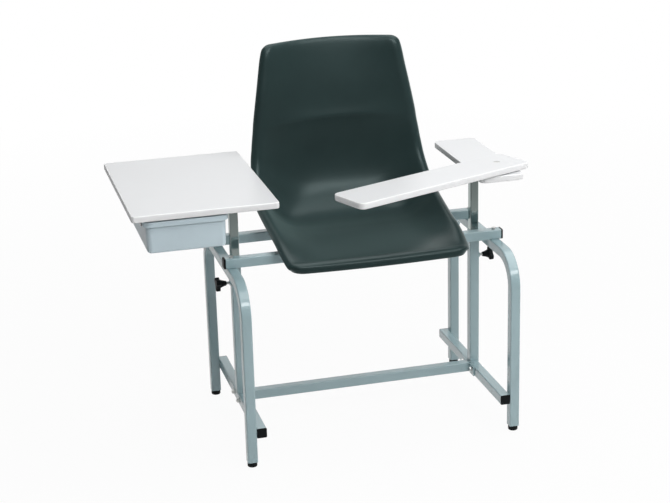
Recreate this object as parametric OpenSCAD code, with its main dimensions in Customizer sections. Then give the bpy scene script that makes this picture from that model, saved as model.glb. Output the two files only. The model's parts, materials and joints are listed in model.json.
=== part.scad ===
// Blood drawing chair with a moulded seat shell, a tray with a drawer and a swivel arm board.
// Millimetres. +X is the viewer's right, the chair faces -Y, +Z is up.
// The origin is on the floor, midway between the four feet.

/* [Frame] */
// Side of the square frame tube
tube = 25.4; // [23:0.1:30]
// Wall of the frame tube
tube_wall = 1.5; // [1:0.1:2]
// Depth of the frame over the legs
frame_d = 496; // [450:1:560]
// Height of the top of the side tubes
side_top_z = 475; // [430:1:520]
// Bend radius of the side tubes, to their centre line
bend_r = 75; // [50:1:110]
// Height of the top of the base rails
rail_top_z = 103; // [75:1:140]
// Distance from the widest place of the seat shell to the outer face of the legs
side_room = 112.5; // [105:0.5:140]
// Height of the floor glides under the legs
glide_h = 13; // [8:0.5:16]
// Thickness of the plates at the ends of the stretcher
end_plate_t = 3; // [2:0.5:5]
// Length of the plates at the ends of the stretcher
end_plate_l = 95; // [85:1:120]

/* [Crossbars] */
// Distance from the middle of the frame forward to the front crossbar
front_bar_dist = 85; // [60:1:110]
// Distance from the middle of the frame back to the rear crossbar
rear_bar_dist = 102; // [70:1:104]
// How far the crossbar tubes reach past the legs
bar_overhang = 3.5; // [1:0.5:6]
// Thickness of the crossbar end caps' flange
bar_cap_t = 5; // [2:0.5:6]

/* [Seat shell] */
// Width of the seat shell
shell_w = 492; // [440:1:540]
// Depth of the seat shell over all
shell_d = 467; // [450:1:500]
// Height of the backrest above the seat
shell_rise = 460.5; // [400:0.5:520]
// Distance from the middle of the frame forward to the front of the shell
shell_front_dist = 221; // [215:1:235]
// Thickness of the shell
shell_t = 4; // [3:0.5:5]
// Width of the rolled rim along the shell's sides
roll_w = 20; // [14:1:26]
// Depth of the rolled rim along the shell's sides
rim_drop = 13; // [10:1:16]
// Height of the pads between the shell and the crossbars
boss_h = 4.6; // [3:0.1:12]
// Distance of the pads from the chair's middle
boss_x = 110; // [80:1:115]

/* [Boards] */
// Thickness of the tray and arm boards
board_t = 15.5; // [12:0.5:22]
// Thickness of the plastic edging on the boards
band_t = 2; // [1:0.5:3]
// Height of the top of the tray
tray_top_z = 681; // [640:1:720]
// Width of the tray
tray_w = 354; // [320:1:400]
// Depth of the tray
tray_d = 494; // [420:1:540]
// Corner radius of the tray
tray_corner_r = 8; // [4:0.5:20]
// Gap between the seat shell and the tray
tray_seat_gap = 7; // [3:0.5:20]
// Height of the top of the fixed arm board
arm_top_z = 681; // [640:1:720]
// Width of both arm boards
arm_w = 114.4; // [100:0.2:124]
// Length of the fixed arm board
arm_base_l = 376; // [320:1:420]
// Distance from the column forward to the fixed arm board's middle
arm_base_shift = 30; // [10:1:50]
// Corner radius of the arm boards
arm_corner_r = 16; // [8:0.5:24]
// Length of the swivel blade
blade_l = 536; // [460:1:600]
// Distance from the swivel bolt to the blade's near end
blade_tail = 62; // [50:1:80]
// Angle of the blade towards the front
blade_angle = 22.2; // [0:0.1:40]
// Distance of the swivel bolt from the fixed board's front edge
pivot_inset = 67; // [45:1:75]
// Distance of the swivel bolt outwards from the column's middle
pivot_out = 7.5; // [0:0.5:10]
// Gap between the fixed arm board and the blade
blade_gap = 2; // [1:0.5:4]

/* [Columns] */
// Length of the sliding columns
column_l = 400; // [360:1:430]
// Clearance between a column and its post, each side
column_fit = 0.25; // [0.15:0.05:0.5]
// Thickness of the plates on top of the columns
plate_t = 3; // [2:0.5:5]
// Width of the plates on top of the columns
plate_w = 96; // [80:1:98]
// Depth of the plates on top of the columns
plate_d = 120; // [100:1:150]

/* [Drawer] */
// Distance from the tray's outer edge to the drawer's rim
drawer_margin = 28; // [20:1:60]
// Distance from the crossbar caps to the drawer's rim
drawer_side_gap = 8; // [6:0.5:20]
// Depth of the drawer bin over its rim
drawer_d = 380; // [320:1:420]
// Height of the drawer bin
drawer_h = 79.5; // [60:0.5:90]
// Wall of the drawer bin
drawer_wall = 2.5; // [2:0.1:3]
// Width of the drawer's rim outside its walls
drawer_rim_w = 6; // [5:0.5:10]
// Height of the drawer's rim
drawer_rim_h = 13; // [10:0.5:18]
// Gap between the tray and the drawer's rim
drawer_top_gap = 4.5; // [4:0.5:8]
// Distance of the drawer's front behind the tray's front edge
drawer_inset = 6; // [3:0.5:12]

/* [Clamp knobs] */
// Height of the clamp knobs
knob_z = 404; // [385:1:415]
// Distance from a knob's middle to its lobes' outer ends
knob_r = 20; // [17:0.5:24]
// Length of a knob along its stud
knob_l = 28; // [24:0.5:34]
// Length of the bare stud between the post and the knob
stud_bare = 12; // [10:0.5:16]
// Radius of the studs and of the swivel bolt
stud_r = 4; // [3:0.25:5]
// Running clearance of the studs and of the swivel bolt
run_fit = 0.05; // [0.02:0.01:0.09]

/* [Hidden] */

// Facets of round things
$fn = 48;
// Facets of a hexagon
hex = 6;
// Overrun of every cut past the face that it opens
over = 1;
// Gap that keeps a moving piece clear of its neighbour
gap = 0.3;

frame_colour = [0.55, 0.63, 0.65];
black = [0.08, 0.08, 0.09];
zinc = [0.78, 0.79, 0.80];
chrome = [0.80, 0.83, 0.84];
shell_colour = [0.17, 0.22, 0.22];
white = [0.91, 0.91, 0.92];
band_white = [0.96, 0.97, 0.97];
bin_colour = [0.70, 0.77, 0.80];

// Frame places, all from the shell's width and the tube
tube_in = tube - 2 * tube_wall;
leg_out = shell_w / 2 + side_room;
leg_x = leg_out - tube / 2;
rail_x = leg_x - tube;
leg_y = frame_d / 2 - tube / 2;
top_zc = side_top_z - tube / 2;
rail_zc = rail_top_z - tube / 2;
bar_zc = side_top_z + tube / 2;
bar_top_z = side_top_z + tube;
bar_half = leg_out + bar_overhang;
front_bar_y = -front_bar_dist;
rear_bar_y = rear_bar_dist;
bars_y = [front_bar_y, rear_bar_y];
plug_l = 10;
rail_cap_t = 2.5;

// Fasteners: shank radius, head or nut radius over the corners, head height
bolt_r = 3;
bolt_head_r = 5.8;
bolt_head_h = 4;
bolt_tip = 2;
big_bolt_head_r = 7.5;
big_bolt_head_h = 5;
stretcher_bolt_y = 30;
screw_r = 2.1;
screw_head_r = 4;
screw_head_h = 1.8;
screw_depth = 11;
plate_hole_edge = 12;

// Glides
glide_foot_r = 11.4;
glide_top_r = 12.4;
glide_side_h = 2.5;
glide_plug_h = 20;

// Seat
pan_z = bar_top_z + boss_h + shell_t;
boss_r = 13;
seat_bolt_bite = 2;
shell_cols = 16;

// Inside the rolled rim: where its bend lies, and how far the underside keeps from it
roll_bend_in_share = 0.3;
roll_bend_drop_share = 0.28;
bend_in_share = 0.57;
bend_under_share = 0.8;
edge_in_share = 0.85;
edge_under_share = 0.5;

// The shell's stations from the front lip, over the seat and up the back. Each holds the
// middle line's place back and up, the rim crest's place back and up, the half width, the
// flat part of the width and the rim's depth. Places back are shares of the shell's depth
// from its front, places up are shares of its rise above the seat.
shell_shares = [
    [0.000, -0.050, 0.000, -0.050, 0.902, 0.00, 1.40],
    [0.000, -0.036, 0.000, -0.036, 0.910, 0.00, 1.40],
    [0.009, -0.010, 0.009, -0.010, 0.927, 0.00, 1.40],
    [0.030, -0.001, 0.030, -0.001, 0.943, 0.30, 1.05],
    [0.066, 0.000, 0.066, 0.004, 0.953, 0.55, 0.60],
    [0.152, 0.000, 0.143, 0.031, 0.963, 0.55, 0.50],
    [0.248, 0.000, 0.235, 0.061, 0.970, 0.55, 0.85],
    [0.345, 0.000, 0.334, 0.085, 0.978, 0.55, 1.00],
    [0.441, 0.000, 0.431, 0.106, 0.986, 0.55, 1.00],
    [0.548, 0.000, 0.528, 0.129, 0.996, 0.55, 1.00],
    [0.655, 0.000, 0.610, 0.151, 1.000, 0.55, 1.00],
    [0.741, 0.000, 0.684, 0.181, 1.000, 0.55, 1.00],
    [0.805, 0.022, 0.740, 0.224, 0.990, 0.40, 1.00],
    [0.859, 0.067, 0.775, 0.272, 0.976, 0.25, 1.00],
    [0.891, 0.132, 0.798, 0.323, 0.961, 0.10, 1.00],
    [0.906, 0.208, 0.812, 0.367, 0.951, 0.00, 1.00],
    [0.912, 0.295, 0.820, 0.412, 0.937, 0.00, 1.00],
    [0.910, 0.382, 0.826, 0.464, 0.921, 0.00, 1.00],
    [0.901, 0.469, 0.833, 0.515, 0.904, 0.00, 1.00],
    [0.894, 0.549, 0.837, 0.563, 0.890, 0.00, 1.00],
    [0.903, 0.621, 0.845, 0.635, 0.865, 0.00, 1.00],
    [0.919, 0.730, 0.859, 0.744, 0.829, 0.00, 1.00],
    [0.938, 0.838, 0.875, 0.842, 0.795, 0.00, 1.00],
    [0.957, 0.936, 0.887, 0.928, 0.766, 0.00, 0.90],
    [0.970, 0.988, 0.904, 0.977, 0.742, 0.00, 0.60],
    [0.980, 1.000, 0.929, 0.994, 0.705, 0.00, 0.40],
    [0.994, 0.987, 0.950, 0.978, 0.700, 0.00, 0.40]
];

// Columns and boards
column_w = tube_in - 2 * column_fit;
tray_bottom_z = tray_top_z - board_t;
tray_x1 = -(shell_w / 2 + tray_seat_gap);
tray_x0 = tray_x1 - tray_w;
tray_y0 = -tray_d / 2;
arm_bottom_z = arm_top_z - board_t;
arm_y0 = -arm_base_shift - arm_base_l / 2;
blade_z = arm_top_z + blade_gap;
pivot_x = rail_x + pivot_out;
pivot_y = arm_y0 + pivot_inset;
pivot_head_r = 7.5;
pivot_head_h = 3.5;
pivot_head_sink = 0.5;
pivot_head_gap = 0.4;
pivot_play = 0.1;
washer_r = 18;
tee_flange_r = 10;
tee_flange_t = 1.5;
tee_barrel_r = 5.2;
tee_barrel_l = 9;
pivot_tip = 2;

// Drawer
bin_x0 = tray_x0 + drawer_margin;
bin_x1 = -(bar_half + bar_cap_t + drawer_side_gap);
bin_y0 = tray_y0 + drawer_inset;
bin_top_z = tray_bottom_z - drawer_top_gap;
bin_rim_corner_r = 18;
bin_corner_r = bin_rim_corner_r - drawer_rim_w;
runner_t = 1.5;
runner_gap = 1;
runner_ledge_w = drawer_rim_w;
runner_flange_w = 17;
runner_front = 30;
runner_rear = 40;
runner_screw_in = 11;
runner_screw_end = 30;
rim_wall = 2.5;

// Knobs
lobe_r = 7.5;
knob_hub_r = 11.5;
knob_collar_r = 5.8;
knob_lobe_share = 0.41;
left_knob_angle = 180;
stud_in_share = 0.7;
weld_nut_t = 4;
weld_nut_r = 7.5;
lobes = 3;

// A straight square tube along +Z from the origin, with open ends
module tube_z(length, side, wall) {
    difference() {
        translate([-side / 2, -side / 2, 0]) cube([side, side, length]);
        translate([-side / 2 + wall, -side / 2 + wall, -over])
            cube([side - 2 * wall, side - 2 * wall, length + 2 * over]);
    }
}

// A straight square tube along X, with its middle at the origin
module tube_x(length) {
    rotate([0, 90, 0]) translate([0, 0, -length / 2]) tube_z(length, tube, tube_wall);
}

// A straight square tube along Y, with its middle at the origin
module tube_y(length) {
    rotate([90, 0, 0]) translate([0, 0, -length / 2]) tube_z(length, tube, tube_wall);
}

// A round rod along X from x0 to x1
module rod_x(x0, x1, r, sides) {
    translate([x0, 0, 0]) rotate([0, 90, 0]) cylinder(h = x1 - x0, r = r, $fn = sides);
}

// A rectangle from the origin with round corners
module rounded(w, d, r) {
    translate([r, 0]) square([w - 2 * r, d]);
    translate([0, r]) square([w, d - 2 * r]);
    for (x = [r, w - r], y = [r, d - r]) translate([x, y]) circle(r);
}

// Lays a side view, drawn back and up, upright and gives it a width along X
module side_view(width) {
    rotate([90, 0, 90]) linear_extrude(height = width, center = true) children();
}

// Side view of a bent side tube: a leg and a bend at each end, and the top run between them
module side_band(w, past) {
    bend_z = top_zc - bend_r;
    for (side = [0, 1]) mirror([side, 0]) {
        translate([leg_y - w / 2, glide_h - past]) square([w, bend_z - glide_h + past]);
        translate([leg_y - bend_r, bend_z]) intersection() {
            difference() {
                circle(bend_r + w / 2, $fn = 96);
                circle(bend_r - w / 2, $fn = 96);
            }
            square(bend_r + w);
        }
    }
    translate([bend_r - leg_y, top_zc - w / 2]) square([2 * (leg_y - bend_r), w]);
}

// Clearance holes for the crossbar bolts, through the side tube and the crossbar
module crossbar_bolt_holes() {
    for (y = bars_y) translate([leg_x, y, top_zc - tube])
        cylinder(h = 2 * tube + tube, r = bolt_r);
}

module side_tube() {
    color(frame_colour) difference() {
        translate([leg_x, 0, 0]) side_view(tube) side_band(tube, 0);
        translate([leg_x, 0, 0]) side_view(tube_in) side_band(tube_in, over);
        crossbar_bolt_holes();
    }
}

module stretcher_bolt_places() {
    for (y = [-stretcher_bolt_y, stretcher_bolt_y]) translate([0, y, rail_zc]) children();
}

module base_rail() {
    color(frame_colour) difference() {
        translate([rail_x, 0, rail_zc]) tube_y(frame_d - 2 * rail_cap_t);
        stretcher_bolt_places() rod_x(rail_x - tube, rail_x + tube, stud_r, $fn);
    }
}

// A plug for a square tube's end at the origin, with its flange towards +X
module end_cap(flange) {
    translate([0, -tube / 2, -tube / 2]) cube([flange, tube, tube]);
    translate([-plug_l, -tube_in / 2, -tube_in / 2]) cube([plug_l, tube_in, tube_in]);
}

module base_rail_end_caps() {
    color(black) for (side = [-1, 1], turn = [-90, 90])
        translate([side * rail_x, 0, rail_zc]) rotate([0, 0, turn])
            translate([frame_d / 2 - rail_cap_t, 0, 0]) end_cap(rail_cap_t);
}

module post() {
    color(frame_colour) difference() {
        translate([rail_x, 0, rail_top_z]) tube_z(side_top_z - rail_top_z, tube, tube_wall);
        translate([0, 0, knob_z]) rod_x(rail_x, rail_x + tube, stud_r + gap, $fn);
    }
}

module post_weld_nuts() {
    post_face = rail_x + tube / 2;
    color(frame_colour) for (side = [0, 1]) mirror([side, 0, 0]) translate([0, 0, knob_z])
        difference() {
            rod_x(post_face, post_face + weld_nut_t, weld_nut_r, hex);
            rod_x(post_face - over, post_face + weld_nut_t + over, stud_r + run_fit, $fn);
        }
}

module stretcher() {
    color(frame_colour) translate([0, 0, rail_zc]) tube_x(2 * rail_x - tube - 2 * end_plate_t);
}

module stretcher_end_plates() {
    rail_face = rail_x - tube / 2;
    color(frame_colour) for (side = [0, 1]) mirror([side, 0, 0]) difference() {
        translate([rail_face - end_plate_t, -end_plate_l / 2, rail_zc - tube / 2])
            cube([end_plate_t, end_plate_l, tube]);
        stretcher_bolt_places() rod_x(rail_face - tube, rail_face + tube, stud_r, $fn);
    }
}

module stretcher_bolts() {
    head_x = rail_x - tube / 2 - end_plate_t;
    nut_x = rail_x + tube / 2;
    color(zinc) for (side = [0, 1]) mirror([side, 0, 0]) stretcher_bolt_places() {
        rod_x(head_x - big_bolt_head_h, head_x, big_bolt_head_r, hex);
        rod_x(head_x, nut_x + big_bolt_head_h + bolt_tip, stud_r, $fn);
    }
}

module stretcher_nuts() {
    nut_x = rail_x + tube / 2;
    color(zinc) for (side = [0, 1]) mirror([side, 0, 0]) stretcher_bolt_places() difference() {
        rod_x(nut_x, nut_x + big_bolt_head_h, big_bolt_head_r, hex);
        rod_x(nut_x - over, nut_x + big_bolt_head_h + over, stud_r, $fn);
    }
}

// Holes for the seat bolts, from the crossbars' underside up into the shell
module seat_bolt_places() {
    for (x = [-boss_x, boss_x], y = bars_y) translate([x, y, side_top_z]) children();
}

module crossbar(y) {
    color(frame_colour) difference() {
        translate([0, y, bar_zc]) tube_x(2 * bar_half);
        for (side = [0, 1]) mirror([side, 0, 0]) crossbar_bolt_holes();
        seat_bolt_places() translate([0, 0, -over]) cylinder(h = tube + 2 * over, r = bolt_r);
    }
}

module crossbar_end_caps() {
    color(black) for (y = bars_y, turn = [0, 180])
        translate([0, y, bar_zc]) rotate([0, 0, turn]) translate([bar_half, 0, 0]) end_cap(bar_cap_t);
}

module crossbar_bolts() {
    shank = 2 * tube + bolt_head_h + bolt_tip;
    color(zinc) for (x = [-leg_x, leg_x], y = bars_y) translate([x, y, bar_top_z]) {
        cylinder(h = bolt_head_h, r = bolt_head_r, $fn = hex);
        translate([0, 0, -shank]) cylinder(h = shank, r = bolt_r);
    }
}

module crossbar_nuts() {
    color(zinc) for (x = [-leg_x, leg_x], y = bars_y)
        translate([x, y, side_top_z - tube - bolt_head_h]) difference() {
            cylinder(h = bolt_head_h, r = bolt_head_r, $fn = hex);
            translate([0, 0, -over]) cylinder(h = bolt_head_h + 2 * over, r = bolt_r);
        }
}

module floor_glides() {
    color(black) for (x = [-leg_x, leg_x], y = [-leg_y, leg_y]) translate([x, y, 0]) {
        rotate_extrude() polygon([
            [0, 0], [glide_foot_r, 0], [glide_top_r, glide_side_h], [glide_top_r, glide_h], [0, glide_h]
        ]);
        translate([-tube_in / 2, -tube_in / 2, glide_h]) cube([tube_in, tube_in, glide_plug_h]);
    }
}

// Place across the seat of column j, from -1 at the left crest to 1 at the right crest
function across(j) = 2 * j / shell_cols - 1;

// How far column j of station i lies from the middle line towards the rim's crest
function towards_rim(i, j) =
    let (flat = shell_shares[i][5])
    pow(max(0, (abs(across(j)) - flat) / (1 - flat)), 2);

// Place back and up on the seat's surface at station i, column j
function seat_yz(i, j) =
    let (s = shell_shares[i], g = towards_rim(i, j))
    [
        shell_d * (s[0] + (s[2] - s[0]) * g) - shell_front_dist,
        shell_rise * (s[1] + (s[3] - s[1]) * g) + pan_z
    ];

// Direction square to the surface, on the sitter's side
function seat_normal(i, j) =
    let (
        last = len(shell_shares) - 1,
        t = seat_yz(min(i + 1, last), j) - seat_yz(max(i - 1, 0), j)
    )
    [-t[1], t[0]] / norm(t);

// A point beside column j, at a place across and a depth under the surface
function shell_point(i, j, x, depth) =
    let (p = seat_yz(i, j) - depth * seat_normal(i, j))
    [x, p[0], p[1]];

// The rolled rim of one station on one side: its bend and edge, then the same underneath
function rim_points(i, j, half) =
    let (
        rim = rim_drop * shell_shares[i][6],
        bend_x = half - roll_bend_in_share * roll_w,
        bend_drop = roll_bend_drop_share * rim,
        side = sign(across(j))
    )
    [
        shell_point(i, j, side * bend_x, bend_drop),
        shell_point(i, j, side * half, rim),
        shell_point(i, j, side * (half - edge_in_share * shell_t), rim + edge_under_share * shell_t),
        shell_point(i, j, side * (bend_x - bend_in_share * shell_t),
            bend_drop + bend_under_share * shell_t)
    ];

// One station's closed outline: over the seat, round the right rim, back under, round the left rim
function shell_ring(i) =
    let (
        half = shell_shares[i][4] * shell_w / 2,
        crest = half - roll_w,
        last = shell_cols,
        left = rim_points(i, 0, half)
    )
    concat(
        [for (j = [0 : last]) shell_point(i, j, across(j) * crest, 0)],
        rim_points(i, last, half),
        [for (j = [last : -1 : 0]) shell_point(i, j, across(j) * crest, shell_t)],
        [left[3], left[2], left[1], left[0]]
    );

module shell_solid() {
    rows = len(shell_shares);
    m = shell_cols;
    under = 2 * m + 5;
    ring = under + 5;
    // Faces between two neighbouring stations
    walls = [
        for (i = [0 : rows - 2], k = [0 : ring - 1])
            let (a = i * ring + k, b = i * ring + (k + 1) % ring)
            each [[a, b + ring, b], [a, a + ring, b + ring]]
    ];
    // Four-sided faces that close the outline's front end
    front = concat(
        [for (j = [0 : m - 1]) [j, under - j, under - j - 1, j + 1]],
        [[m, m + 5, m + 4, m + 1], [m + 1, m + 4, m + 3, m + 2]],
        [[under + 4, under + 1, under, 0], [under + 3, under + 2, under + 1, under + 4]]
    );
    front_faces = [for (q = front) each [[q[0], q[2], q[1]], [q[0], q[3], q[2]]]];
    back = (rows - 1) * ring;
    back_faces = [for (f = front_faces) [back + f[2], back + f[1], back + f[0]]];
    polyhedron(
        points = [for (i = [0 : rows - 1]) each shell_ring(i)],
        faces = concat(walls, front_faces, back_faces),
        convexity = 6
    );
}

module seat_shell() {
    color(shell_colour) difference() {
        shell_solid();
        seat_bolt_places() cylinder(h = tube + boss_h + seat_bolt_bite, r = bolt_r);
    }
}

module seat_bosses() {
    color(black) seat_bolt_places() translate([0, 0, tube]) difference() {
        cylinder(h = boss_h, r = boss_r);
        translate([0, 0, -over]) cylinder(h = boss_h + 2 * over, r = bolt_r);
    }
}

module seat_bolts() {
    color(zinc) seat_bolt_places() {
        translate([0, 0, -bolt_head_h]) cylinder(h = bolt_head_h, r = bolt_head_r, $fn = hex);
        cylinder(h = tube + boss_h + seat_bolt_bite, r = bolt_r);
    }
}

// A sliding column whose top is at the given height
module column(top_z) {
    color(chrome) translate([0, 0, top_z - column_l]) tube_z(column_l, column_w, tube_wall);
}

// The plastic plug in a column's lower end
module column_plug(top_z) {
    bottom = top_z - column_l;
    inner = column_w - 2 * tube_wall;
    color(black) {
        translate([-column_w / 2, -column_w / 2, bottom - bolt_tip])
            cube([column_w, column_w, bolt_tip]);
        translate([-inner / 2, -inner / 2, bottom]) cube([inner, inner, plug_l]);
    }
}

module plate_screw_places() {
    for (x = [-1, 1], y = [-1, 1])
        translate([x * (plate_w / 2 - plate_hole_edge), y * (plate_d / 2 - plate_hole_edge), 0])
            children();
}

// The plate on top of a column, from the given height up
module column_plate(z) {
    color(frame_colour) translate([0, 0, z]) difference() {
        translate([-plate_w / 2, -plate_d / 2, 0]) cube([plate_w, plate_d, plate_t]);
        plate_screw_places() translate([0, 0, -over]) cylinder(h = plate_t + 2 * over, r = screw_r);
    }
}

// A wood screw whose head is under the origin
module screw(depth) {
    translate([0, 0, -screw_head_h]) cylinder(h = screw_head_h, r = screw_head_r);
    cylinder(h = depth, r = screw_r);
}

module column_screws(z) {
    color(zinc) translate([0, 0, z]) plate_screw_places() screw(plate_t + screw_depth);
}

// A board's core inside its edging, from the origin towards +X and +Y
module board_core(w, d, r) {
    translate([band_t, band_t, 0])
        linear_extrude(height = board_t) rounded(w - 2 * band_t, d - 2 * band_t, r - band_t);
}

module board_band(w, d, r) {
    difference() {
        linear_extrude(height = board_t) rounded(w, d, r);
        translate([band_t, band_t, -over]) linear_extrude(height = board_t + 2 * over)
            rounded(w - 2 * band_t, d - 2 * band_t, r - band_t);
    }
}

module tray_column() {
    translate([-rail_x, 0, 0]) column(tray_bottom_z - plate_t);
}

module tray_column_plug() {
    translate([-rail_x, 0, 0]) column_plug(tray_bottom_z - plate_t);
}

module tray_plate() {
    translate([-rail_x, 0, 0]) column_plate(tray_bottom_z - plate_t);
}

module tray_screws() {
    translate([-rail_x, 0, 0]) column_screws(tray_bottom_z - plate_t);
}

module tray_board() {
    color(white) difference() {
        translate([tray_x0, tray_y0, tray_bottom_z]) board_core(tray_w, tray_d, tray_corner_r);
        translate([-rail_x, 0, tray_bottom_z]) plate_screw_places()
            translate([0, 0, -over]) cylinder(h = screw_depth + over, r = screw_r);
        runner_screw_places() translate([0, 0, -over])
            cylinder(h = runner_t + screw_depth + over, r = screw_r);
    }
}

module tray_edge_band() {
    color(band_white) translate([tray_x0, tray_y0, tray_bottom_z])
        board_band(tray_w, tray_d, tray_corner_r);
}

// Puts the left runner's things on both sides of the drawer
module both_runners() {
    middle = (bin_x0 + bin_x1) / 2;
    children();
    translate([middle, 0, 0]) mirror([1, 0, 0]) translate([-middle, 0, 0]) children();
}

module runner_screw_places() {
    web_x = bin_x0 - runner_gap;
    y0 = tray_y0 + drawer_inset + runner_front + runner_screw_end;
    y1 = tray_y0 + tray_d - runner_rear - runner_screw_end;
    both_runners() for (y = [y0, (y0 + y1) / 2, y1])
        translate([web_x + runner_screw_in, y, tray_bottom_z - runner_t]) children();
}

module drawer_runners() {
    web_x = bin_x0 - runner_gap;
    ledge_z = bin_top_z - drawer_rim_h - gap;
    y0 = bin_y0 + runner_front;
    length = tray_y0 + tray_d - runner_rear - y0;
    color(zinc) difference() {
        both_runners() {
            translate([web_x - runner_t, y0, ledge_z - runner_t])
                cube([runner_t, length, tray_bottom_z - ledge_z + runner_t]);
            translate([web_x, y0, ledge_z - runner_t]) cube([runner_ledge_w, length, runner_t]);
            translate([web_x, y0, tray_bottom_z - runner_t])
                cube([runner_flange_w, length, runner_t]);
        }
        runner_screw_places() translate([0, 0, -over])
            cylinder(h = runner_t + 2 * over, r = screw_r);
    }
}

module runner_screws() {
    color(zinc) runner_screw_places() screw(runner_t + screw_depth - over);
}

// A bin-shaped block, drawn in by a margin from the rim's outline
module bin_block(margin, r, z0, z1) {
    w = bin_x1 - bin_x0 - 2 * margin;
    d = drawer_d - 2 * margin;
    translate([bin_x0 + margin, bin_y0 + margin, z0])
        linear_extrude(height = z1 - z0) rounded(w, d, r);
}

module drawer_bin() {
    floor_z = bin_top_z - drawer_h;
    inner = drawer_rim_w + drawer_wall;
    inner_r = bin_corner_r - drawer_wall;
    color(bin_colour) difference() {
        union() {
            bin_block(drawer_rim_w, bin_corner_r, floor_z, bin_top_z);
            difference() {
                bin_block(0, bin_rim_corner_r, bin_top_z - drawer_rim_h, bin_top_z);
                bin_block(rim_wall, bin_rim_corner_r - rim_wall, bin_top_z - drawer_rim_h - over,
                    bin_top_z - rim_wall);
            }
        }
        bin_block(inner, inner_r, floor_z + drawer_wall, bin_top_z + over);
    }
}

module arm_column() {
    translate([rail_x, 0, 0]) column(arm_bottom_z - plate_t);
}

module arm_column_plug() {
    translate([rail_x, 0, 0]) column_plug(arm_bottom_z - plate_t);
}

module arm_plate() {
    translate([rail_x, 0, 0]) column_plate(arm_bottom_z - plate_t);
}

module arm_screws() {
    translate([rail_x, 0, 0]) column_screws(arm_bottom_z - plate_t);
}

module arm_base_place() {
    translate([rail_x - arm_w / 2, arm_y0, arm_bottom_z]) children();
}

module arm_base_board() {
    color(white) difference() {
        arm_base_place() board_core(arm_w, arm_base_l, arm_corner_r);
        translate([rail_x, 0, arm_bottom_z]) plate_screw_places()
            translate([0, 0, -over]) cylinder(h = screw_depth + over, r = screw_r);
        translate([pivot_x, pivot_y, arm_bottom_z - over]) {
            cylinder(h = board_t + 2 * over, r = stud_r);
            cylinder(h = tee_barrel_l + over, r = tee_barrel_r);
        }
    }
}

module arm_base_edge_band() {
    color(band_white) arm_base_place() board_band(arm_w, arm_base_l, arm_corner_r);
}

// Puts a board that starts at the origin in the blade's place on the swivel bolt
module blade_place() {
    translate([pivot_x, pivot_y, blade_z]) rotate([0, 0, blade_angle])
        translate([blade_tail - blade_l, -arm_w / 2, 0]) children();
}

module arm_blade() {
    head_z = board_t - pivot_head_sink - pivot_head_h - pivot_play;
    color(white) difference() {
        blade_place() board_core(blade_l, arm_w, arm_corner_r);
        translate([pivot_x, pivot_y, blade_z - over])
            cylinder(h = board_t + 2 * over, r = stud_r + run_fit);
        translate([pivot_x, pivot_y, blade_z + head_z])
            cylinder(h = board_t, r = pivot_head_r + pivot_head_gap);
    }
}

module arm_blade_edge_band() {
    color(band_white) blade_place() board_band(blade_l, arm_w, arm_corner_r);
}

module pivot_bolt() {
    head_z = blade_z + board_t - pivot_head_sink - pivot_head_h;
    foot_z = arm_bottom_z - tee_flange_t - pivot_tip;
    color(zinc) translate([pivot_x, pivot_y, 0]) {
        translate([0, 0, head_z]) cylinder(h = pivot_head_h, r = pivot_head_r);
        translate([0, 0, foot_z]) cylinder(h = head_z - foot_z, r = stud_r);
    }
}

module pivot_nut() {
    color(zinc) translate([pivot_x, pivot_y, arm_bottom_z]) difference() {
        union() {
            translate([0, 0, -tee_flange_t]) cylinder(h = tee_flange_t, r = tee_flange_r);
            cylinder(h = tee_barrel_l, r = tee_barrel_r);
        }
        translate([0, 0, -tee_flange_t - over])
            cylinder(h = tee_barrel_l + tee_flange_t + 2 * over, r = stud_r);
    }
}

module pivot_washer() {
    color(black) translate([pivot_x, pivot_y, arm_top_z]) difference() {
        cylinder(h = blade_gap - pivot_play, r = washer_r);
        translate([0, 0, -over]) cylinder(h = blade_gap + 2 * over, r = stud_r);
    }
}

// A clamp knob with its axis along X and its face towards +X, on the right post. The first
// lobe stands up at an angle of 0.
module clamp_knob(angle) {
    x0 = rail_x + tube / 2 + stud_bare;
    x1 = x0 + knob_l;
    lobe_x0 = x1 - knob_l * knob_lobe_share;
    color(black) translate([0, 0, knob_z]) difference() {
        union() {
            translate([x0, 0, 0]) rotate([0, 90, 0])
                cylinder(h = lobe_x0 - x0, r1 = knob_collar_r, r2 = knob_hub_r);
            rod_x(lobe_x0, x1, knob_hub_r, $fn);
            for (a = [0 : 360 / lobes : 359]) rotate([angle + a, 0, 0]) {
                translate([0, 0, knob_r - lobe_r]) rod_x(lobe_x0, x1, lobe_r, $fn);
                translate([lobe_x0, -lobe_r, 0]) cube([x1 - lobe_x0, 2 * lobe_r, knob_r - lobe_r]);
            }
        }
        rod_x(x0 - over, x0 + knob_l * stud_in_share, stud_r, $fn);
    }
}

module knob_stud() {
    tip = rail_x + column_w / 2 + gap;
    end = rail_x + tube / 2 + stud_bare + knob_l * stud_in_share;
    color(zinc) translate([0, 0, knob_z]) rod_x(tip, end, stud_r, $fn);
}

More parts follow.
